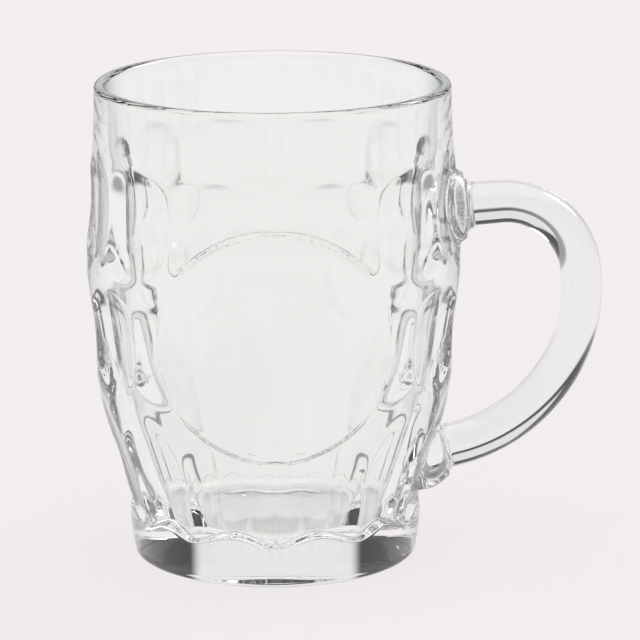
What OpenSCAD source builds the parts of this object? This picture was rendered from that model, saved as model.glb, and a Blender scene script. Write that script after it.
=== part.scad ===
// Dimpled pint mug of pressed clear glass: a barrel body with three rows of dimples, a plain
// round panel on the front and a heavy ringed base, and a round-bar handle that is set hot
// onto two bosses. Millimetres, +Z up, origin on the body's axis at the table.
// The front faces -Y and the handle is on +X.

/* [Body] */
// Height from the table to the top of the lip
body_h = 127.5; // [120:1:136]
// Widest outside diameter of the barrel, over the ridges
belly_d = 99.2; // [94:0.2:104]
// Height of the widest place
belly_z = 77; // [74:1:82]
// How far the foot of the plain rim band is drawn in from the belly, on each side
band_in = 2.1; // [1.6:0.1:2.6]
// Height of the foot of the rim band
band_z = 112; // [111:0.5:114]
// How far the lip is drawn in from the rim band's foot, on each side
lip_in = 0.5; // [0.2:0.1:0.9]
// Thickness of the rounded lip
lip_t = 3.3; // [3:0.1:3.6]
// Width of the level crest of the lip
lip_flat = 0.4; // [0.2:0.1:0.8]
// How far the waist, just above the base ring, is drawn in from the belly on each side
waist_in = 10.7; // [10:0.1:11.4]
// Height of the waist
waist_z = 16; // [15:0.5:18]

/* [Base ring] */
// How far the ring's widest place lies inside the waist, on each side
ring_in = 0.4; // [0.2:0.1:0.9]
// Height of the ring's largest diameter
ring_z = 11.8; // [10:0.2:12.4]
// Height that the ring's sloping shoulder rises to the flutes
shoulder_rise = 5.6; // [5:0.1:6]
// How far the ring's side draws in from there to the foot rounding
ring_low_in = 1.8; // [1:0.1:2.4]
// Softening of the ring's upper edge
ring_soft = 1; // [0.6:0.1:1.4]
// Radius that rounds the ring's side into the foot
foot_r = 2.2; // [1.6:0.2:3]
// Width of the flat band that the mug stands on
foot_w = 2.2; // [1.4:0.2:3]
// Depth of the hollow under the base
punt_depth = 2.6; // [1.6:0.2:3.4]

/* [Cavity] */
// Thickness of the solid glass under the cavity floor
floor_t = 16; // [14:0.5:19]
// Height where the cavity starts to narrow
cavity_turn_z = 88; // [84:1:94]
// Thickness of the glass between the waist and the cavity's wall carried down to the floor
waist_wall = 7.8; // [7:0.1:9]
// Radius between the cavity's wall and its floor
cavity_corner_r = 6; // [4:0.5:8]

/* [Dimples] */
// Angle of each of the two middle columns on the front and on the back
wide_pitch = 34; // [32:0.5:36]
// Depth of a dimple below the ridges
dimple_depth = 2.7; // [2.4:0.1:3.2]
// Rounding of a dimple's upper and lower edge
dimple_edge_r = 5; // [4:0.2:6]
// Width of the ridge left between two dimples side by side
ridge_w = 0.8; // [0.6:0.1:1.2]
// Lower end of the top row
top_row_low = 80.2; // [79:0.2:82]
// Upper end of the top row
top_row_high = 110.4; // [108:0.2:112]
// Lower end of the middle row
mid_row_low = 48.6; // [47.6:0.1:50]
// Upper end of the middle row
mid_row_high = 77; // [75:0.2:78]
// Upper end of the tall flutes
flute_high = 45.4; // [43:0.1:46.4]
// Depth of a flute below the ridges
flute_depth = 3; // [2.6:0.1:3.4]

/* [Window] */
// Diameter of the plain round panel on the front
window_d = 61.4; // [58:0.2:64]
// Height of the panel's centre
window_z = 67.5; // [66:0.5:69]

/* [Handle] */
// Diameter of the handle's bar
bar_d = 11.4; // [10:0.1:12]
// Diameter of the bar at the upper joint
bar_top_d = 12.2; // [12:0.2:13]
// Height of the bar's axis at the top of the handle
crown_top_z = 94.5; // [92.5:0.5:96]
// Angle by which the bar rises from the upper boss
crown_lean = 4; // [2:1:8]
// Distance of the upper boss's face from the belly
top_face_out = 1; // [0.6:0.1:2]
// Radius of the small upper bend
crown_r = 20.2; // [19:0.2:21.5]
// Distance of the upper bend's centre from the belly
crown_out = 11.8; // [10.6:0.1:12.4]
// Radius of the long lower bend
sweep_r = 44; // [42:0.5:46]
// Angle above level where the small bend runs into the long one
bend_change = 8; // [4:1:12]
// Angle below level where the long bend meets the lower boss
sweep_end = 77.5; // [75:0.5:79]
// Diameter of the flared foot of the handle at the upper boss
top_flare_d = 17.4; // [16:0.2:18.4]
// Diameter of the flared foot of the handle at the lower boss
low_flare_d = 15.6; // [14.4:0.2:16.4]

/* [Hidden] */
$fn = 96;
// Overrun of every cut past the face that it opens
over = 2;
// How much thinner the bar gets where one bend gives way to the next
bar_step = 0.1;
// Length by which each piece of the bar runs on inside the next
joint_lap = 0.4;
// Height by which the front panel stands over the ridges
panel_rise = 0.1;
// Depth to which the bosses are rooted in the wall
boss_root = 8;
// Spread of a boss over its depth, as a share of the depth
boss_share = 0.5;
// Share of an edge's rounding that stays at its middle
edge_share = 0.293;
// Run of the ring's shoulder, as a share of its rise
shoulder_share = 0.68;
// Radial height of a dimple's cutter
cutter_h = 6;
// Number of bands in each long curve of an outline, and in each small one
bands = 8;
small_bands = 4;

lip_r = (lip_t - lip_flat) / 2;
belly_r = belly_d / 2;
band_r = belly_r - band_in;
lip_out_r = band_r - lip_in;
waist_r = belly_r - waist_in;
ring_r = waist_r - ring_in;
ring_low_r = ring_r - ring_low_in;
cavity_r = lip_out_r - lip_t;
cavity_low_r = waist_r - waist_wall;
foot_out_r = ring_low_r - foot_r;
foot_in_r = foot_out_r - foot_w;
lip_z = body_h - lip_r;

// Radius of an arc that starts upright and moves in by run over the height rise
function arc_r(run, rise) = (run * run + rise * rise) / (2 * run);

lower_r = arc_r(waist_in, belly_z - waist_z);
upper_r = arc_r(band_in, band_z - belly_z);
cavity_arc_r = arc_r(cavity_r - cavity_low_r, cavity_turn_z - floor_t);
punt_r = arc_r(punt_depth, foot_in_r);
shoulder_z = ring_z + shoulder_rise;
top_face_x = belly_r + top_face_out;
crown_x = belly_r + crown_out;

// Radius of the barrel and its lean from upright at a height
function barrel_r(z) = z < belly_z
    ? belly_r - lower_r + sqrt(lower_r * lower_r - pow(belly_z - z, 2))
    : z < band_z
        ? belly_r - upper_r + sqrt(upper_r * upper_r - pow(z - belly_z, 2))
        : band_r - lip_in * (z - band_z) / (lip_z - band_z);
function barrel_lean(z) = z < belly_z
    ? asin((belly_z - z) / lower_r)
    : -asin((z - belly_z) / upper_r);

// Angles of the columns, from the front: each is [middle, width]
narrow_pitch = (180 - 2 * wide_pitch) / 4;
half_columns = [
    [wide_pitch / 2, wide_pitch],
    for (i = [0 : 3]) [wide_pitch + (i + 0.5) * narrow_pitch, narrow_pitch],
    [180 - wide_pitch / 2, wide_pitch],
];
columns = concat(half_columns, [for (c = half_columns) [-c[0], c[1]]]);
// The middle row stands on the ridges between the columns, and the panel takes its front place
side_mid_columns = [
    [wide_pitch, (wide_pitch + narrow_pitch) / 2],
    for (i = [1 : 3]) [wide_pitch + i * narrow_pitch, narrow_pitch],
    [180 - wide_pitch, (wide_pitch + narrow_pitch) / 2],
];
mid_columns = concat(side_mid_columns, [for (c = side_mid_columns) [-c[0], c[1]]], [[180, wide_pitch]]);

// A cutter for one dimple: a short length of a wheel's rim, with its edges taken off
module rim_cutter(wheel_r, half_chord, height) {
    half_h = height / 2;
    edge = dimple_edge_r;
    edge_in = dimple_edge_r * edge_share;
    half_angle = asin(half_chord / wheel_r) + ridge_w / 3 / wheel_r * 180 / PI;
    rotate([0, 0, 90 - half_angle]) rotate_extrude(angle = 2 * half_angle) polygon([
        [wheel_r - cutter_h, -half_h],
        [wheel_r - edge, -half_h],
        [wheel_r - edge_in, edge_in - half_h],
        [wheel_r, edge - half_h],
        [wheel_r, half_h - edge],
        [wheel_r - edge_in, half_h - edge_in],
        [wheel_r - edge, half_h],
        [wheel_r - cutter_h, half_h],
    ]);
}

// One row of dimples between two heights, at the angles and widths of the columns
module dimple_row(places, low, high, depth) {
    mid = (low + high) / 2;
    r = barrel_r(mid);
    for (place = places) {
        half_chord = r * sin(place[1] / 2) - ridge_w / 2;
        rise = sqrt(r * r - half_chord * half_chord) - r + depth;
        wheel_r = arc_r(rise, half_chord);
        rotate([0, 0, place[0]])
            translate([0, depth - r, mid])
                rotate([barrel_lean(mid), 0, 0])
                    translate([0, -wheel_r, 0])
                        rim_cutter(wheel_r, half_chord, (high - low) / cos(barrel_lean(mid)));
    }
}

// The barrel's outline between two heights, as points with a rise over the surface
function outline(low, high, rise) =
    [for (i = [0 : bands]) let (z = low + (high - low) * i / bands) [barrel_r(z) + rise, z]];

// The barrel without its dimples, up to the middle of the lip
module barrel(rise) {
    rotate_extrude($fn = 180) polygon(concat(
        [[0, ring_z / 2]],
        outline(ring_z / 2, belly_z, rise),
        outline(belly_z + (band_z - belly_z) / bands, band_z, rise),
        [for (i = [0 : small_bands]) let (a = i * 90 / small_bands)
            [lip_out_r - lip_r * (1 - cos(a)), lip_z + lip_r * sin(a)]],
        [[0, body_h]]
    ));
}

// The base ring: hollowed foot, rounded foot edge, slanting side and sloping shoulder
module base_ring() {
    rotate_extrude($fn = 180) polygon(concat(
        [for (i = [0 : bands]) let (x = foot_in_r * i / bands)
            [x, punt_depth - punt_r + sqrt(punt_r * punt_r - x * x)]],
        [for (i = [0 : small_bands]) let (a = i * 90 / small_bands)
            [foot_out_r + foot_r * sin(a), foot_r * (1 - cos(a))]],
        [
            [ring_r, ring_z - ring_soft],
            [ring_r - ring_soft / 2, ring_z + ring_soft / 2],
            [ring_r - ring_soft / 2 - shoulder_rise * shoulder_share, shoulder_z + ring_soft / 2],
            [0, shoulder_z + ring_soft / 2],
        ]
    ));
}

// Radius of the cavity's wall at a height
function wall_r(z) = z > cavity_turn_z
    ? cavity_r
    : cavity_r - cavity_arc_r + sqrt(pow(cavity_arc_r, 2) - pow(cavity_turn_z - z, 2));

// The cavity: straight at the top, opening over the lip, and rounded into its floor
module cavity() {
    turn_z = floor_t + cavity_corner_r;
    rotate_extrude($fn = 180) polygon(concat(
        [[0, floor_t]],
        [for (i = [0 : small_bands]) let (a = i * 90 / small_bands)
            [wall_r(turn_z) - cavity_corner_r * (1 - sin(a)), turn_z - cavity_corner_r * cos(a)]],
        [for (i = [1 : bands]) let (z = turn_z + (cavity_turn_z - turn_z) * i / bands) [wall_r(z), z]],
        [for (i = [0 : small_bands]) let (a = i * 90 / small_bands)
            [cavity_r + lip_r * (1 - cos(a)), lip_z + lip_r * sin(a)]],
        [[cavity_r + lip_r, body_h + over], [0, body_h + over]]
    ));
}

// The plain round panel on the front
module panel() {
    intersection() {
        barrel(panel_rise);
        translate([0, 0, window_z]) rotate([90, 0, 0]) cylinder(d = window_d, h = belly_d);
    }
}

// Angle of a bend that runs the lap's length
function lap_angle(r) = joint_lap / r * 180 / PI;

// Centres of the handle's bends, and the places where its ends meet the bosses
crown_z = crown_top_z - crown_r;
crown_start_x = crown_x - crown_r * sin(crown_lean);
crown_start_z = crown_z + crown_r * cos(crown_lean);
crown_angle = 90 + crown_lean - bend_change;
sweep_angle = sweep_end + bend_change;
top_reach = (crown_start_x - top_face_x) / cos(crown_lean);
top_joint_z = crown_start_z - top_reach * sin(crown_lean);
sweep_x = crown_x - (sweep_r - crown_r) * cos(bend_change);
sweep_z = crown_z - (sweep_r - crown_r) * sin(bend_change);
low_flare_l = (low_flare_d - bar_d) / 2;
low_joint_lean = 90 - sweep_end;
low_joint_x = sweep_x + sweep_r * cos(sweep_end) - low_flare_l * cos(low_joint_lean);
low_joint_z = sweep_z - sweep_r * sin(sweep_end) - low_flare_l * sin(low_joint_lean);

// Turns a shape that is drawn along +Z so that it runs outwards from a joint's face
module at_top_joint() {
    translate([top_face_x, 0, top_joint_z]) rotate([0, 90 - crown_lean, 0]) children();
}
module at_low_joint() {
    translate([low_joint_x, 0, low_joint_z]) rotate([0, 90 - low_joint_lean, 0]) children();
}

// A boss on the wall that carries one end of the handle
module boss(face_d) {
    translate([0, 0, -boss_root])
        cylinder(d1 = face_d + 2 * boss_root * boss_share, d2 = face_d, h = boss_root);
}

module mug_body() {
    color([0.86, 0.93, 0.90, 0.35])
    difference() {
        union() {
            difference() {
                barrel(0);
                dimple_row(columns, top_row_low, top_row_high, dimple_depth);
                dimple_row(mid_columns, mid_row_low, mid_row_high, dimple_depth);
                dimple_row(columns, ring_z, flute_high, flute_depth);
            }
            panel();
            base_ring();
            at_top_joint() boss(top_flare_d);
            at_low_joint() boss(low_flare_d);
        }
        cavity();
    }
}

// One end of the handle: wide at its face, drawn in to the bar by a hollow curve
module handle_end(wide_d, thin_d, bar_end_d, length) {
    flare_r = (wide_d - thin_d) / 2;
    rotate_extrude($fn = 48) polygon(concat(
        [[0, 0]],
        [for (i = [0 : small_bands]) let (a = i * 90 / small_bands)
            [wide_d / 2 - flare_r * sin(a), flare_r * (1 - cos(a))]],
        length > flare_r ? [[bar_end_d / 2, length]] : [],
        [[0, max(length, flare_r)]]
    ));
}

module handle() {
    color([0.88, 0.94, 0.91, 0.35]) {
        at_top_joint() handle_end(top_flare_d, bar_top_d, bar_d + 2 * bar_step, top_reach);
        translate([crown_x, 0, crown_z]) rotate([90, 0, 0])
            rotate([0, 0, bend_change]) rotate_extrude(angle = crown_angle + lap_angle(crown_r), $fn = 96)
                translate([crown_r, 0]) circle(d = bar_d + bar_step, $fn = 48);
        translate([sweep_x, 0, sweep_z]) rotate([90, 0, 0])
            rotate([0, 0, -sweep_end]) rotate_extrude(angle = sweep_angle + lap_angle(sweep_r), $fn = 144)
                translate([sweep_r, 0]) circle(d = bar_d, $fn = 48);
        at_low_joint() handle_end(low_flare_d, bar_d - bar_step, bar_d - bar_step, low_flare_l + joint_lap);
    }
}

mug_body();
handle();
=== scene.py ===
import bpy
import math
import numpy as np
from mathutils import Matrix, Vector


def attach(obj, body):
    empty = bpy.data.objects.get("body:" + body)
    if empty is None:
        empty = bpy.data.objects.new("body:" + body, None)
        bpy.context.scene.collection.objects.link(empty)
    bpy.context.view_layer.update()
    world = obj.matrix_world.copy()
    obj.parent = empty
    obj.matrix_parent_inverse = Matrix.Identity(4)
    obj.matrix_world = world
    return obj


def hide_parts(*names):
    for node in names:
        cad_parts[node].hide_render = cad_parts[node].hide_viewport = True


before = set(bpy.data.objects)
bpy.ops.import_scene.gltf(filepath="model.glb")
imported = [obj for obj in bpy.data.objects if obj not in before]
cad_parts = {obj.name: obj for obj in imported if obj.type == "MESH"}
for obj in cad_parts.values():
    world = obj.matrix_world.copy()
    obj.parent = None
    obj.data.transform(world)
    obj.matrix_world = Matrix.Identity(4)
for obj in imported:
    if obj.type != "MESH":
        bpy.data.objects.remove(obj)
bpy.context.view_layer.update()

MM = 0.001

# Sizes of the mug in millimetres: the CAD model's, but for the base ring, the foot, the
# cavity's floor and the front panel, which were fitted to the photo once more. Body: its
# height, the lip's radius and thickness, then radius and height of the belly, of the lower
# end of the band under the lip, and of the waist
BODY_H, LIP_R, LIP_T = 127.5, 47.0, 3.3
BELLY_R, BELLY_Z = 49.6, 77.0
BAND_R, BAND_Z = 47.5, 112.0
WAIST_R, WAIST_Z = 39.3, 16.0
# Foot: radius of its outer corner, width of its flat band, depth of the hollow inside it
FOOT_R, FOOT_W, PUNT = 1.4, 3.8, 0.7
# Cavity: height of its floor, height where its wall starts to bend in, radius at the floor,
# radius of the corner there, and radius at the top
FLOOR_Z, CAVITY_TURN, CAVITY_LOW_R, CORNER_R = 12.5, 88.0, 29.0, 2.5
CAVITY_R = LIP_R - LIP_T
# Handle's axis: centre and radius of the small bend at its top, how many degrees it rises
# where it leaves the body, radius of the long bend, and the degrees over and under level
# between which the long bend runs
CROWN_X, CROWN_Z, CROWN_R, CROWN_LEAN = 61.4, 74.3, 20.2, 4.0
SWEEP_R, BEND_CHANGE, SWEEP_END = 44.0, 8.0, 77.5
# Handle's ends: where the upper face stands, radius of each face, radii of the bar beside
# them and on average, and its radii at distances along the bar from the upper face
TOP_FACE_X, TOP_FLARE_R, BAR_TOP_R = 50.6, 8.7, 6.1
LOW_FLARE_R, BAR_R, BAR_LOW_R = 7.8, 5.7, 6.0
BAR_AT, BAR_RADII = (9, 22, 36, 60, 90), (5.85, 5.6, 5.5, 5.5, 5.75)

# Base ring: radius at its top and at the foot, mean height of its wavy upper edge, height of
# the wave each way, and how steeply the ledge above it falls
RING_R, RING_LOW_R, RING_TOP, RING_WAVE, LEDGE = 39.0, 37.8, 12.45, 1.25, 3.0

# Front panel, the width of its edge, and how far it lies under the barrel
PANEL_R, PANEL_Z, PANEL_EDGE, PANEL_IN = 30.4, 66.2, 0.9, 0.02
# The fine line pressed on the panel's edge: half width, depth, distance outside the edge, and
# the heights over or under the panel's middle between which it starts to show
LINE_W, LINE_DEPTH, LINE_OUT, LINE_ENDS = 0.4, 0.3, -0.1, (17.0, 25.0)

# Each row of dimples: lower end, upper end, depth, how far its worn ridges lie under the
# barrel, and its columns as pairs of middle angle from the front and half width, in degrees
RIGHT_OUTER = [(17, 17), (48, 14), (76, 14), (104, 14), (132, 14), (163, 17)]
RIGHT_MIDDLE = [(34, 15.5), (62, 14), (90, 14), (118, 14), (146, 15.5)]
OUTER_COLUMNS = RIGHT_OUTER + [(-a, w) for a, w in RIGHT_OUTER]
MIDDLE_COLUMNS = RIGHT_MIDDLE + [(-a, w) for a, w in RIGHT_MIDDLE] + [(180, 17)]
ROWS = [
    (80.0, 110.6, 2.7, 0.6, OUTER_COLUMNS),
    (48.4, 77.2, 2.7, 0.4, MIDDLE_COLUMNS),
    (-20.0, 45.6, 3.0, 1.4, OUTER_COLUMNS),
]
# How sharply a dimple's floor turns up at its ends, and how far every ridge lies under the
# barrel at least
END_POWER, RIDGE_IN = 2.5, 0.12
# Widths over which creases are rounded: the ridges of a row, the meeting of the rows, the
# ring's upper edge, and the hollow above it
RIDGE_SOFT, ROW_SOFT, RING_SOFT, RING_FILLET = 1.0, 0.55, 0.5, 0.3

# Lowest and highest tint of each glass, and its colour where it is seen edge on: partly the glass's
# deeper tint through a longer way, partly painted shade on the edges
BODY_TINTS_AND_EDGE_SHADE = (0.965, 0.98, 0.97), (0.98, 0.99, 0.983), (0.25, 0.34, 0.3)
HANDLE_TINTS_AND_EDGE_SHADE = (0.925, 0.945, 0.935), (0.94, 0.955, 0.948), (0.88, 0.92, 0.9)
# Waves left by the mould, as scale of the pattern and height in metres, and the finest haze
BODY_WAVES, HANDLE_WAVES, HAZE = (90.0, 0.00003), (60.0, 0.00005), 0.012

# Floor: half its side in metres, its colour as the backdrop, and its colours as seen through
# the glass: a painted pool of light near the mug and painted shade far from it
FLOOR_HALF = 4.0
FLOOR_SEEN = (0.730, 0.691, 0.706)
FLOOR_PAINTED_LIT, FLOOR_PAINTED_SHADE = (0.745, 0.720, 0.715), (0.2, 0.22, 0.205)
# Distances in metres where the painted shade starts and is reached, after x and y are multiplied
PAINTED_SHADE_FALL, PAINTED_SHADE_SHAPE = (0.8, 2.0), (1.6, 0.8, 0)


def arc_radius(run, rise):
    """Radius of an arc that starts upright and moves in by run over rise."""
    return (run * run + rise * rise) / (2 * run)


def soft_min(a, b, k):
    """The smaller of two heights, with the crease between them rounded over the width k."""
    h = np.clip(0.5 + 0.5 * (b - a) / k, 0, 1)
    return b * (1 - h) + a * h - k * h * (1 - h)


def soft_max(a, b, k):
    """The larger of two heights, with the crease between them filled over the width k."""
    return -soft_min(-a, -b, k)


def smooth_step(t):
    """0 below 0, 1 above 1, and an S curve between them."""
    t = np.clip(t, 0, 1)
    return t * t * (3 - 2 * t)


def turn_from(theta, degrees):
    """Angle from a column's middle, between minus half a turn and half a turn."""
    return (theta - math.radians(degrees) + math.pi) % (2 * math.pi) - math.pi


def barrel_radius(z):
    """Radius over the ridges at height z: a long arc up to the belly, a flatter one above it,
    and an almost upright band under the lip."""
    low = arc_radius(BELLY_R - WAIST_R, BELLY_Z - WAIST_Z)
    high = arc_radius(BELLY_R - BAND_R, BAND_Z - BELLY_Z)
    drop = np.minimum(np.abs(z - BELLY_Z), 80.0)
    below = BELLY_R - low + np.sqrt(low ** 2 - drop ** 2)
    above = BELLY_R - high + np.sqrt(high ** 2 - np.minimum(drop, 60.0) ** 2)
    band = BAND_R - (BAND_R - LIP_R) * (z - BAND_Z) / (BODY_H - LIP_T / 2 - BAND_Z)
    return np.where(z < BELLY_Z, below, np.where(z < BAND_Z, above, band))


def dimple_radius(theta, z, row):
    """Near face of one row of wheel-shaped cutters. At every height a dimple is an arc of a
    circle that runs from ridge to ridge and lies depth under the barrel in the middle. Its
    floor rises with a power of the height from its middle, so it turns up smoothly to the
    barrel at both ends, where the ridges beside it also reach their full height. The flutes,
    whose lower end would be under the table, grow shallower and less worn near the base."""
    low, high, depth, worn, columns = row
    full = barrel_radius(z)
    if low < 0:
        depth = depth * (0.8 + 0.2 * smooth_step((z - 12) / 14))
        worn = worn * smooth_step((z - 15) / 15)
    v = np.abs(2 * z - low - high) / (high - low)
    lift = depth * v ** END_POWER
    ridge = full - worn * np.clip(1 - v ** 2, 0, 1)
    best = np.full_like(theta + z, 1e3)
    for middle, half_width in columns:
        w = math.radians(half_width)
        turn = turn_from(theta, middle)
        half = ridge * math.sin(w)
        rise = np.maximum(ridge * math.cos(w) - (full - depth), 0.2)
        wheel = (half ** 2 + rise ** 2) / (2 * rise)
        axis = full - depth + wheel
        reach = wheel ** 2 - (axis * np.sin(turn)) ** 2
        near = axis * np.cos(turn) - np.sqrt(np.maximum(reach, 0))
        near = np.where((np.abs(turn) < w * 1.25) & (reach > 0), near + lift, 1e3)
        best = soft_min(best, near, RIDGE_SOFT)
    return best


def ring_top(theta):
    """Height of the base ring's upper edge: it rises in each flute and sinks at each ridge."""
    top = np.full_like(theta, RING_TOP)
    for middle, half_width in OUTER_COLUMNS:
        turn = turn_from(theta, middle)
        u = np.abs(turn) / math.radians(half_width)
        top = np.where(u < 1, RING_TOP + RING_WAVE * np.cos(math.pi * np.minimum(u, 1)), top)
    return top


def outer_radius(theta, z):
    """The outside of the body at an angle from the front and a height: the barrel less its
    three rows of dimples, with the plain round panel left level, and with the base ring
    below, whose side bulges a little and ends in a ledge at its wavy upper edge."""
    full = barrel_radius(z)
    r = full - RIDGE_IN
    for row in ROWS:
        r = soft_min(r, dimple_radius(theta, z, row), ROW_SOFT)
    gap = PANEL_R - np.hypot(full * np.sin(theta), z - PANEL_Z)
    panel = smooth_step(gap / PANEL_EDGE + 0.6) * (np.cos(theta) > 0)
    r = r * (1 - panel) + (full - PANEL_IN) * panel
    crest = RING_TOP + RING_WAVE
    side = RING_R - (RING_R - RING_LOW_R) * (np.maximum(crest - z, 0) / (crest - FOOT_R)) ** 2
    ring = soft_min(side, RING_R - LEDGE * (z - ring_top(theta)), RING_SOFT)
    r = soft_max(r, ring, RING_FILLET)
    t = np.clip(1 - z / FOOT_R, 0, 1)
    foot = RING_LOW_R - FOOT_R * (1 - np.sqrt(np.maximum(1 - t ** 2, 0)))
    return np.where(z < FOOT_R, foot, r)


def inner_radius(theta, z):
    """The inside of the body: straight at the top, an arc below, rounded into the floor."""
    bend = arc_radius(CAVITY_R - CAVITY_LOW_R, CAVITY_TURN - FLOOR_Z)
    drop = np.maximum(CAVITY_TURN - z, 0)
    wall = CAVITY_R - bend + np.sqrt(bend ** 2 - drop ** 2) + 0 * theta
    up = np.clip((FLOOR_Z + CORNER_R - z) / CORNER_R, 0, 1)
    return wall - CORNER_R * (1 - np.sqrt(np.maximum(1 - up ** 2, 0)))


def polar(theta, r, z):
    """Points at an angle from the front (-Y, turning towards +X), a radius and a height."""
    z = z + np.zeros_like(r)
    return np.stack([r * np.sin(theta), -r * np.cos(theta), z], -1)


def grid_quads(rows, cols, start=0, around=True):
    """Four-sided faces of a grid of points that is numbered row by row."""
    i = np.arange(rows - 1)[:, None]
    j = np.arange(cols if around else cols - 1)[None]
    k = (j + 1) % cols
    q = np.stack([i * cols + j, i * cols + k, (i + 1) * cols + k, (i + 1) * cols + j], -1)
    return q.reshape(-1, 4) + start


def make_piece(name, points, quads, tris, slots=None):
    """One smooth mesh object from whole arrays of points and faces, in millimetres."""
    mesh = bpy.data.meshes.new(name)
    loops = np.concatenate([quads.ravel(), tris.ravel()]).astype(np.int32)
    totals = np.concatenate([np.full(len(quads), 4), np.full(len(tris), 3)]).astype(np.int32)
    starts = np.concatenate([[0], np.cumsum(totals)[:-1]]).astype(np.int32)
    mesh.vertices.add(len(points))
    mesh.vertices.foreach_set("co", (points * MM).astype(np.float32).ravel())
    mesh.loops.add(len(loops))
    mesh.loops.foreach_set("vertex_index", loops)
    mesh.polygons.add(len(totals))
    mesh.polygons.foreach_set("loop_start", starts)
    mesh.polygons.foreach_set("loop_total", totals)
    mesh.polygons.foreach_set("use_smooth", np.ones(len(totals), bool))
    if slots is not None:
        mesh.polygons.foreach_set("material_index", slots.astype(np.int32))
    mesh.update()
    mesh.validate()
    piece = bpy.data.objects.new(name, mesh)
    bpy.context.collection.objects.link(piece)
    return piece


def turn_point(cx, cz, r, degrees):
    """Point at an angle above level on a circle in the handle's plane."""
    a = math.radians(degrees)
    return np.array([cx + r * math.cos(a), cz + r * math.sin(a)])


# Where the handle's axis starts and ends, and its direction there
crown_start = turn_point(CROWN_X, CROWN_Z, CROWN_R, 90 + CROWN_LEAN)
top_dir = np.array([math.cos(math.radians(CROWN_LEAN)), math.sin(math.radians(CROWN_LEAN))])
top_run = (crown_start[0] - TOP_FACE_X) / top_dir[0]
top_face = crown_start - top_dir * top_run
sweep_mid = turn_point(CROWN_X, CROWN_Z, CROWN_R - SWEEP_R, BEND_CHANGE)
low_run = LOW_FLARE_R - BAR_R
low_lean = math.radians(90 - SWEEP_END)
low_dir = np.array([math.cos(low_lean), math.sin(low_lean)])
low_face = turn_point(sweep_mid[0], sweep_mid[1], SWEEP_R, -SWEEP_END) - low_dir * low_run

# Columns of the body's grid round the axis, the column that faces the handle, and the rings
# of points on each boss
COLS = 480
RIGHT = COLS // 4
BOSS_RINGS = 22
BOSSES = [
    # face centre, direction out of the wall, face radius, rows from and to, columns each side
    (top_face, top_dir, TOP_FLARE_R, 79.0, 109.0, 21),
    (low_face, low_dir, LOW_FLARE_R, 17.2, 40.0, 21),
]


def boss_patch(loop_yz, face, out, radius, rings):
    """Points of one boss, ring by ring from the edge of its opening in the grid to the rim of
    its flat face. A ring's points move in straight lines, seen along X. Each point stands on
    the wall, or on the boss's steep cone if that is further out, with a fillet between."""
    centre = np.array([0.0, face[1]])
    d = loop_yz - centre
    angle = np.arctan2(d[:, 1], d[:, 0])
    up = np.array([-out[1], out[0]])
    rim = np.stack([radius * np.cos(angle), face[1] + radius * np.sin(angle) * up[1]], -1)
    result = []
    for n in range(1, rings + 1):
        # the rings lie closer together towards the face
        t = 1 - (1 - n / rings) ** 1.7
        y, z = (loop_yz * (1 - t) + rim * t).T
        x = np.full_like(y, face[0])
        for _ in range(6):
            theta = math.pi / 2 + np.arctan2(y, x)
            wall = np.sqrt(np.maximum(outer_radius(theta, z) ** 2 - y ** 2, 1))
            w = -(x - face[0]) * out[1] + (z - face[1]) * out[0]
            # the cone falls faster and the fillet grows wider away from the face
            beyond = np.maximum(np.hypot(y, w) - radius, 0)
            cone = -beyond * (1.1 + 0.5 * beyond)
            boss = face[0] + (cone - (z - face[1]) * out[1]) / out[0]
            x = soft_max(wall, boss, np.clip(beyond * 1.3, 0.02, 1.8))
        result.append(np.stack([x, y, z], -1))
    last = np.stack([
        face[0] - radius * np.sin(angle) * out[1],
        radius * np.cos(angle),
        face[1] + radius * np.sin(angle) * out[0]], -1)
    result[-1] = last
    return np.array(result)


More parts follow.
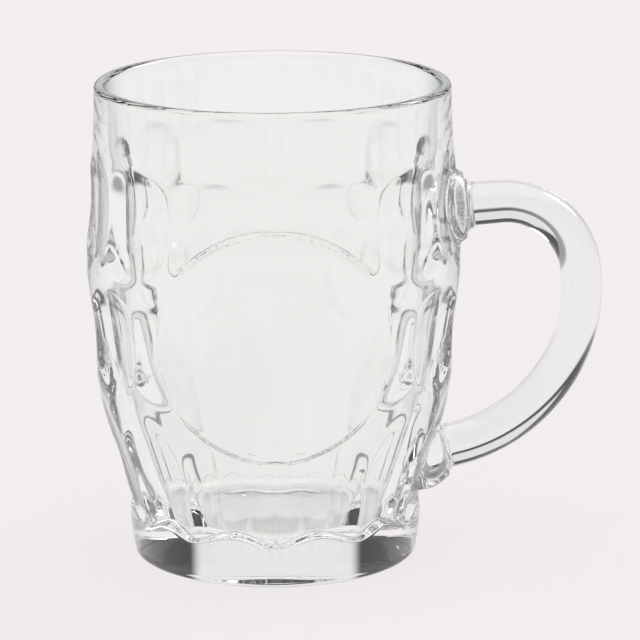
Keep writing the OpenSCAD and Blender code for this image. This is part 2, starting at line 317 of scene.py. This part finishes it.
def build_body():
    """The body as one closed surface: from the middle of the hollow underside out over the
    foot, up the outside, over the lip, down the inside and across the floor to its middle."""
    theta = np.linspace(0, 2 * math.pi, COLS, endpoint=False)[None]
    foot_out = RING_LOW_R - FOOT_R
    foot_in = foot_out - FOOT_W
    punt_r = arc_radius(PUNT, foot_in)
    under_r = np.concatenate([np.array([0.06, 0.25, 0.5, 0.75, 0.92]) * foot_in,
                              [foot_in, (foot_in + foot_out) / 2]])
    under_z = np.where(under_r < foot_in,
                       PUNT - punt_r + np.sqrt(np.maximum(punt_r ** 2 - under_r ** 2, 0)), 0)
    under = polar(theta, under_r[:, None] + 0 * theta, under_z[:, None])
    a = np.linspace(0, math.pi / 2, 7)[:, None]
    foot = polar(theta, foot_out + FOOT_R * np.sin(a) + 0 * theta, FOOT_R * (1 - np.cos(a)))
    side_z = np.concatenate([
        np.linspace(FOOT_R, 10.2, 7)[1:], np.linspace(10.5, 15.3, 17),
        np.linspace(15.7, 17.2, 4),
        np.linspace(17.2, 112.0, 96)[1:], np.linspace(112.0, BODY_H - LIP_T / 2, 9)[1:]])[:, None]
    side = polar(theta, outer_radius(theta, side_z + 0 * theta), side_z)
    a = np.linspace(0, math.pi, 13)[1:-1, None]
    mid_r = LIP_R - LIP_T / 2
    lip = polar(theta, mid_r + LIP_T / 2 * np.cos(a) + 0 * theta,
                BODY_H - LIP_T / 2 + LIP_T / 2 * np.sin(a))
    c = np.linspace(0, math.pi / 2, 9)[1:-1, None]
    in_z = np.concatenate([
        np.linspace(BODY_H - LIP_T / 2, 110, 9)[:, None],
        np.linspace(110, FLOOR_Z + CORNER_R, 18)[1:, None],
        FLOOR_Z + CORNER_R * (1 - np.sin(c))])
    inside = polar(theta, inner_radius(theta, in_z + 0 * theta), in_z)
    rim_r = inner_radius(theta, np.full_like(theta, FLOOR_Z + 1e-4))
    share = np.array([1, 0.93, 0.8, 0.6, 0.35, 0.1])[:, None]
    floor = polar(theta, rim_r * share, np.full((6, 1), FLOOR_Z))
    rows = np.concatenate([under, foot, side, lip, inside, floor])
    n = len(rows)
    points = [rows.reshape(-1, 3)]
    heights = side_z[:, 0]
    first = len(under) + len(foot)
    keep = np.ones((n - 1, COLS), bool)
    patches, caps, count = [], [], n * COLS
    for face, out, radius, z0, z1, half in BOSSES:
        i0 = first + int(np.argmin(np.abs(heights - z0)))
        i1 = first + int(np.argmin(np.abs(heights - z1)))
        j0, j1 = RIGHT - half, RIGHT + half
        keep[i0:i1, j0:j1] = False
        loop = ([(i0, j) for j in range(j0, j1)] + [(i, j1) for i in range(i0, i1)]
                + [(i1, j) for j in range(j1, j0, -1)] + [(i, j0) for i in range(i1, i0, -1)])
        ids = np.array([i * COLS + j for i, j in loop])
        pts = boss_patch(points[0][ids][:, 1:], face, out, radius, BOSS_RINGS)
        m = len(ids)
        points.append(pts.reshape(-1, 3))
        added = count + np.arange(BOSS_RINGS * m).reshape(BOSS_RINGS, m)
        numbers = np.concatenate([ids[None], added])
        k = np.roll(numbers, -1, axis=1)
        patches.append(np.stack([numbers[:-1], k[:-1], k[1:], numbers[1:]], -1).reshape(-1, 4))
        count += BOSS_RINGS * m
        caps.append((numbers[-1], count))
        points.append(np.array([[face[0], 0.0, face[1]]]))
        count += 1
    quads = grid_quads(n, COLS)[keep.ravel()]
    quads = np.concatenate([quads] + patches)
    j = np.arange(COLS)
    k = (j + 1) % COLS
    low, high = count, count + 1
    points.append(np.array([[0, 0, PUNT], [0, 0, FLOOR_Z]]))
    tris = [np.stack([np.full(COLS, low), k, j], -1),
            np.stack([np.full(COLS, high), (n - 1) * COLS + j, (n - 1) * COLS + k], -1)]
    joint = []
    for ring, middle in caps:
        joint.append(np.stack([ring, np.roll(ring, -1), np.full(len(ring), middle)], -1))
    material = np.concatenate([np.zeros(len(quads) + 2 * COLS), np.ones(sum(map(len, joint)))])
    return make_piece("mug_body_glass", np.concatenate(points), quads,
                      np.concatenate(tris + joint), material)


def build_handle():
    """The bar as a tube along its path: straight off the upper boss, round the small bend and
    the long one, and straight into the lower boss. Its radius thins from the top towards the
    far side, grows again towards the lower end, and flares out at both ends as a quarter
    circle."""
    runs = [top_run, math.radians(90 + CROWN_LEAN - BEND_CHANGE) * CROWN_R,
            math.radians(BEND_CHANGE + SWEEP_END) * SWEEP_R, low_run]
    ends = np.concatenate([[0], np.cumsum(runs)])
    total = ends[-1]
    flare = 1 - np.cos(np.linspace(0, math.pi / 2, 12))
    top_flare, low_flare = TOP_FLARE_R - BAR_TOP_R, LOW_FLARE_R - BAR_LOW_R
    s = np.concatenate([flare * top_flare, np.linspace(top_flare, total - low_flare, 150)[1:-1],
                        total - flare[::-1] * low_flare])
    straight_in = np.minimum(s, ends[1])
    crown = np.clip(s - ends[1], 0, runs[1]) / CROWN_R
    sweep = np.clip(s - ends[2], 0, runs[2]) / SWEEP_R
    lean = math.radians(CROWN_LEAN) - crown - sweep
    a1 = math.radians(90 + CROWN_LEAN) - crown
    a2 = math.radians(BEND_CHANGE) - sweep
    on_top = s < ends[1]
    x = np.where(on_top, top_face[0] + top_dir[0] * straight_in, CROWN_X + CROWN_R * np.cos(a1))
    z = np.where(on_top, top_face[1] + top_dir[1] * straight_in, CROWN_Z + CROWN_R * np.sin(a1))
    x = np.where(s > ends[2], sweep_mid[0] + SWEEP_R * np.cos(a2), x)
    z = np.where(s > ends[2], sweep_mid[1] + SWEEP_R * np.sin(a2), z)
    x = np.where(s > ends[3], x - low_dir[0] * (s - ends[3]), x)
    z = np.where(s > ends[3], z - low_dir[1] * (s - ends[3]), z)
    knots = np.array([0, *BAR_AT, total - low_flare])
    thick = np.array([BAR_TOP_R, *BAR_RADII, BAR_LOW_R])
    blend = np.interp(s, knots, thick)
    blend = np.convolve(np.pad(blend, 6, mode="edge"), np.ones(13) / 13, mode="valid")
    up = np.clip(1 - s / top_flare, 0, 1)
    down = np.clip(1 - (total - s) / low_flare, 0, 1)
    r = blend + top_flare * (1 - np.sqrt(np.maximum(1 - up ** 2, 0))) \
        + low_flare * (1 - np.sqrt(np.maximum(1 - down ** 2, 0)))
    r[0], r[-1] = TOP_FLARE_R, LOW_FLARE_R
    around = 144
    a = np.linspace(0, 2 * math.pi, around, endpoint=False)[None]
    nx, nz = -np.sin(lean), np.cos(lean)
    pts = np.stack([
        x[:, None] + nx[:, None] * r[:, None] * np.sin(a),
        r[:, None] * np.cos(a),
        z[:, None] + nz[:, None] * r[:, None] * np.sin(a)], -1)
    n = len(s)
    quads = grid_quads(n, around)
    j = np.arange(around)
    k = (j + 1) % around
    last = (n - 1) * around
    tris = np.concatenate([
        np.stack([np.full(around, n * around), k, j], -1),
        np.stack([np.full(around, n * around + 1), last + j, last + k], -1)])
    points = np.concatenate([pts.reshape(-1, 3), [[x[0], 0, z[0]], [x[-1], 0, z[-1]]]])
    material = np.concatenate([np.zeros(len(quads)), np.ones(len(tris))])
    return make_piece("handle_glass", points, quads, tris, material)


class NodeTools:
    """Short ways to add nodes to one tree. A value given for an input is set on it, and
    another node's output is linked to it."""

    def __init__(self, tree):
        self.tree = tree

    def add(self, kind, inputs=None, **settings):
        """A node with its settings and its inputs."""
        node = self.tree.nodes.new(kind)
        for name, value in settings.items():
            setattr(node, name, value)
        for name, value in (inputs or {}).items():
            if isinstance(value, bpy.types.NodeSocket):
                self.tree.links.new(value, node.inputs[name])
            else:
                node.inputs[name].default_value = value
        return node

    def maths(self, operation, a, b=0.0, clamp=False):
        """One sum of two numbers."""
        node = self.add("ShaderNodeMath", {0: a, 1: b}, operation=operation, use_clamp=clamp)
        return node.outputs["Value"]

    def product(self, first, *others):
        """Several numbers multiplied."""
        for other in others:
            first = self.maths("MULTIPLY", first, other)
        return first

    def vector(self, operation, a, b=(0, 0, 0), result="Vector"):
        """One sum of two vectors."""
        return self.add("ShaderNodeVectorMath", {0: a, 1: b}, operation=operation).outputs[result]

    def split(self, vector):
        """The parts X, Y and Z of a vector."""
        return self.add("ShaderNodeSeparateXYZ", {"Vector": vector}).outputs

    def ramp(self, value, start, end, low=0.0, high=1.0):
        """An S curve from low, where the value is start, to high, where it is end."""
        inputs = {"Value": value, "From Min": start, "From Max": end, "To Min": low, "To Max": high}
        node = self.add("ShaderNodeMapRange", inputs, interpolation_type="SMOOTHSTEP")
        return node.outputs["Result"]

    def blend(self, factor, a, b):
        """A colour between two others."""
        node = self.add("ShaderNodeMix", {"Factor": factor, "A": a, "B": b}, data_type="RGBA")
        return node.outputs["Result"]

    def noise(self, place, scale, detail=2.0):
        """A soft random pattern from 0 to 1."""
        node = self.add("ShaderNodeTexNoise", {"Vector": place, "Scale": scale, "Detail": detail})
        return node.outputs["Fac"]

    def object_place(self):
        """Where a point lies on its own piece."""
        return self.add("ShaderNodeTexCoord").outputs["Object"]


def empty_material(name):
    """A material without nodes, and the tools to fill it."""
    material = bpy.data.materials.new(name)
    material.use_nodes = True
    material.node_tree.nodes.clear()
    return material, NodeTools(material.node_tree)


def glass_surface_group():
    """Fire-polished pressed glass: slow waves left by the mould, a trace of fine haze, and a
    tint that drifts a little. Gives a tint, a roughness and a height for a bump."""
    group = bpy.data.node_groups.new("fire_polished_glass", "ShaderNodeTree")
    face = group.interface
    for name, value, low, high in (("Wave Size", 90.0, 1.0, 900.0), ("Haze", 0.004, 0.0, 0.2)):
        socket = face.new_socket(name, in_out="INPUT", socket_type="NodeSocketFloat")
        socket.default_value, socket.min_value, socket.max_value = value, low, high
    for name in ("Tint Low", "Tint High"):
        socket = face.new_socket(name, in_out="INPUT", socket_type="NodeSocketColor")
        socket.default_value = (1, 1, 1, 1)
    face.new_socket("Tint", in_out="OUTPUT", socket_type="NodeSocketColor")
    face.new_socket("Roughness", in_out="OUTPUT", socket_type="NodeSocketFloat")
    face.new_socket("Height", in_out="OUTPUT", socket_type="NodeSocketFloat")
    tools = NodeTools(group)
    given = tools.add("NodeGroupInput").outputs
    place = tools.object_place()
    drift, fine = tools.noise(place, 28.0), tools.noise(place, 420.0)
    tools.add("NodeGroupOutput", {
        "Height": tools.noise(place, given["Wave Size"], 1.0),
        "Tint": tools.blend(drift, given["Tint Low"], given["Tint High"]),
        "Roughness": tools.maths("MULTIPLY", fine, given["Haze"])})
    return group


def panel_line_group():
    """The fine line pressed on the upper and lower edge of the front panel. Gives a height
    that is 1 on the line and falls to 0 beside it."""
    group = bpy.data.node_groups.new("panel_line", "ShaderNodeTree")
    group.interface.new_socket("Height", in_out="OUTPUT", socket_type="NodeSocketFloat")
    tools = NodeTools(group)
    place = tools.object_place()
    offset = tools.vector("SUBTRACT", place, (0, 0, PANEL_Z * MM))
    flat = tools.vector("MULTIPLY", offset, (1, 0, 1))
    radius = tools.vector("LENGTH", flat, result="Value")
    beside = tools.maths("ABSOLUTE", tools.maths("SUBTRACT", radius, (PANEL_R + LINE_OUT) * MM))
    line = tools.ramp(beside, LINE_W * MM, 0.0)
    front = tools.maths("LESS_THAN", tools.split(place)["Y"], -20 * MM)
    rise = tools.maths("ABSOLUTE", tools.split(offset)["Z"])
    ends = tools.ramp(rise, LINE_ENDS[0] * MM, LINE_ENDS[1] * MM)
    tools.add("NodeGroupOutput", {"Height": tools.product(line, front, ends)})
    return group


def pressed_glass(name, surface_group, waves, tints_and_edge_shade, line_group=None):
    """Clear glass: the surface group feeds the Principled shader's colour, roughness and
    normal, the colour darkens where the surface is seen edge on, partly as glass looks darker
    the longer the way through it and partly as painted shade on the edges, and rays that cast
    shadows pass mostly straight through."""
    material, tools = empty_material(name)
    low, high, edge = ((*tint, 1) for tint in tints_and_edge_shade)
    surface = tools.add("ShaderNodeGroup", {
        "Wave Size": waves[0], "Haze": HAZE, "Tint Low": low, "Tint High": high,
    }, node_tree=surface_group).outputs
    facing = tools.add("ShaderNodeLayerWeight", {"Blend": 0.5}).outputs["Facing"]
    normal = tools.add("ShaderNodeBump", {
        "Strength": 1.0, "Distance": waves[1], "Height": surface["Height"]}).outputs["Normal"]
    if line_group is not None:
        line = tools.add("ShaderNodeGroup", node_tree=line_group).outputs["Height"]
        normal = tools.add("ShaderNodeBump", {
            "Distance": LINE_DEPTH * MM, "Height": line, "Normal": normal,
        }, invert=True).outputs["Normal"]
    glass = tools.add("ShaderNodeBsdfPrincipled", {
        "IOR": 1.52, "Transmission Weight": 1.0, "Metallic": 0.0,
        # Base Color: the drifting tint, turning to the edge colour where the surface is seen edge
        # on, which is partly the glass's deeper tint and partly painted shade on the edges
        "Base Color": tools.blend(tools.ramp(facing, 0.5, 0.95), surface["Tint"], edge),
        "Roughness": surface["Roughness"], "Normal": normal})
    clear = tools.add("ShaderNodeBsdfTransparent", {"Color": (0.82, 0.84, 0.83, 1)})
    mix = tools.add("ShaderNodeMixShader", {
        "Fac": tools.add("ShaderNodeLightPath").outputs["Is Shadow Ray"],
        1: glass.outputs["BSDF"], 2: clear.outputs["BSDF"]})
    tools.add("ShaderNodeOutputMaterial", {"Surface": mix.outputs["Shader"]})
    return material


def fused_joint():
    """The buried face where the bar is fused to a boss: nothing shows there."""
    material, tools = empty_material("fused_joint")
    clear = tools.add("ShaderNodeBsdfTransparent")
    tools.add("ShaderNodeOutputMaterial", {"Surface": clear.outputs["BSDF"]})
    return material


def pale_floor():
    """A wide pale floor that takes the mug's soft shadow and shows as the pale backdrop. Rays
    that come through the glass see a painted pool of light near the mug and painted shade
    that darkens it with distance, sooner to the sides."""
    mesh = bpy.data.meshes.new("floor")
    s = FLOOR_HALF
    mesh.from_pydata([(-s, -s, 0), (s, -s, 0), (s, s, 0), (-s, s, 0)], [], [(0, 1, 2, 3)])
    piece = bpy.data.objects.new("floor", mesh)
    bpy.context.collection.objects.link(piece)
    material, tools = empty_material("pale_floor")
    # Painted pool of light and painted shade on the floor, seen only through the glass: light near
    # the mug, darker with distance, sooner to the sides
    stretched = tools.vector("MULTIPLY", tools.object_place(), PAINTED_SHADE_SHAPE)
    away = tools.ramp(tools.vector("LENGTH", stretched, result="Value"), *PAINTED_SHADE_FALL)
    through = tools.blend(away, (*FLOOR_PAINTED_LIT, 1), (*FLOOR_PAINTED_SHADE, 1))
    path = tools.add("ShaderNodeLightPath").outputs
    seen = tools.maths("ADD", path["Is Camera Ray"], path["Is Glossy Ray"], clamp=True)
    glow = tools.add("ShaderNodeEmission", {
        "Color": tools.blend(path["Is Transmission Ray"], (*FLOOR_SEEN, 1), through),
        "Strength": tools.maths("ADD", seen, path["Is Transmission Ray"], clamp=True)})
    matt = tools.add("ShaderNodeBsdfDiffuse", {"Color": (0.2, 0.2, 0.2, 1)})
    both = tools.add("ShaderNodeAddShader", {0: matt.outputs["BSDF"], 1: glow.outputs["Emission"]})
    tools.add("ShaderNodeOutputMaterial", {"Surface": both.outputs["Shader"]})
    mesh.materials.append(material)


def studio_world():
    """The room as it shows in clear glass. Directions are given by x to the right, z up and
    the share of the level direction that points behind the mug."""
    world = bpy.data.worlds.new("studio")
    bpy.context.scene.world = world
    world.use_nodes = True
    world.node_tree.nodes.clear()
    tools = NodeTools(world.node_tree)
    ramp, maths, product = tools.ramp, tools.maths, tools.product
    place = tools.add("ShaderNodeTexCoord").outputs["Generated"]
    parts = tools.split(place)
    x, y, z = (parts[name] for name in "XYZ")
    level = maths("SQRT", maths("MAXIMUM", maths("SUBTRACT", 1.0, product(z, z)), 0.001))
    behind = maths("DIVIDE", y, level)
    # a pale panel behind the mug, from just over the table to a middle height
    panel = product(ramp(behind, 0.885, 0.925), ramp(z, 0.04, 0.10), ramp(z, 0.44, 0.40), 0.78)
    # dim light from the sides and the front, stronger on the left, fading upwards
    sides = product(ramp(behind, 0.42, 0.25), maths("SUBTRACT", 0.42, product(x, 0.22)),
                    ramp(z, 0.60, 0.40, 0.2, 1.0))
    # a bright ceiling, and a dim strip low on the right that lightens the bar's outer side
    ceiling = ramp(z, 0.66, 0.80, 0.0, 1.1)
    strip = product(ramp(z, 0.12, 0.06, 0.0, 0.28), ramp(x, -0.1, 0.3))
    # one soft lamp high behind on the right
    toward = tools.vector("DOT_PRODUCT", place, (0.665, 0.43, 0.61), result="Value")
    lamp = ramp(toward, 0.965, 0.98, 0.0, 4.0)
    strength = 0.04
    for part in (panel, sides, ceiling, lamp, strip):
        strength = maths("ADD", part, strength)
    light = tools.add("ShaderNodeBackground", {"Color": (1, 0.985, 0.99, 1), "Strength": strength})
    tools.add("ShaderNodeOutputWorld", {"Surface": light.outputs["Background"]})


def photo_camera():
    """The camera, fitted to the photo's rim and foot: 1 m away, 14 degrees above level, turned
    so that the mug stands left of the middle. The frame is 640 pixels wide."""
    camera = bpy.data.cameras.new("camera")
    viewer = bpy.data.objects.new("camera", camera)
    bpy.context.collection.objects.link(viewer)
    lift, distance, aim = math.radians(14.0), 1.0, Vector((0, 0, 0.0627))
    frame_width, axis_at, focal_pixels = 640, 272.8, 3756
    ahead = Vector((0, math.cos(lift), -math.sin(lift)))
    place = aim - ahead * distance
    yaw = math.atan((frame_width / 2 - axis_at) / focal_pixels)
    ahead = Matrix.Rotation(-yaw, 3, "Z") @ ahead
    right = ahead.cross(Vector((0, 0, 1))).normalized()
    up = right.cross(ahead)
    turn = Matrix((right, up, -ahead)).transposed().to_4x4()
    roll = Matrix.Rotation(math.radians(-0.21), 4, "Z")
    viewer.matrix_world = Matrix.Translation(place) @ turn @ roll
    camera.sensor_width = 36
    camera.lens = focal_pixels / frame_width * camera.sensor_width
    camera.clip_start = 0.01
    camera.clip_end = 50
    return viewer


body = build_body()
handle = build_handle()
surface_group = glass_surface_group()
body_glass = pressed_glass("body_glass", surface_group, BODY_WAVES, BODY_TINTS_AND_EDGE_SHADE, panel_line_group())
handle_glass = pressed_glass("handle_glass", surface_group, HANDLE_WAVES, HANDLE_TINTS_AND_EDGE_SHADE)
joint = fused_joint()
for piece, glass, node in ((body, body_glass, "mug_body"), (handle, handle_glass, "handle")):
    piece.data.materials.append(glass)
    piece.data.materials.append(joint)
    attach(piece, "root")
    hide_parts(node)

pale_floor()
studio_world()
scene = bpy.context.scene
scene.camera = photo_camera()
scene.cycles.max_bounces = 24
scene.cycles.transmission_bounces = 24
scene.cycles.glossy_bounces = 12
scene.cycles.transparent_max_bounces = 24
scene.view_settings.view_transform = "Standard"
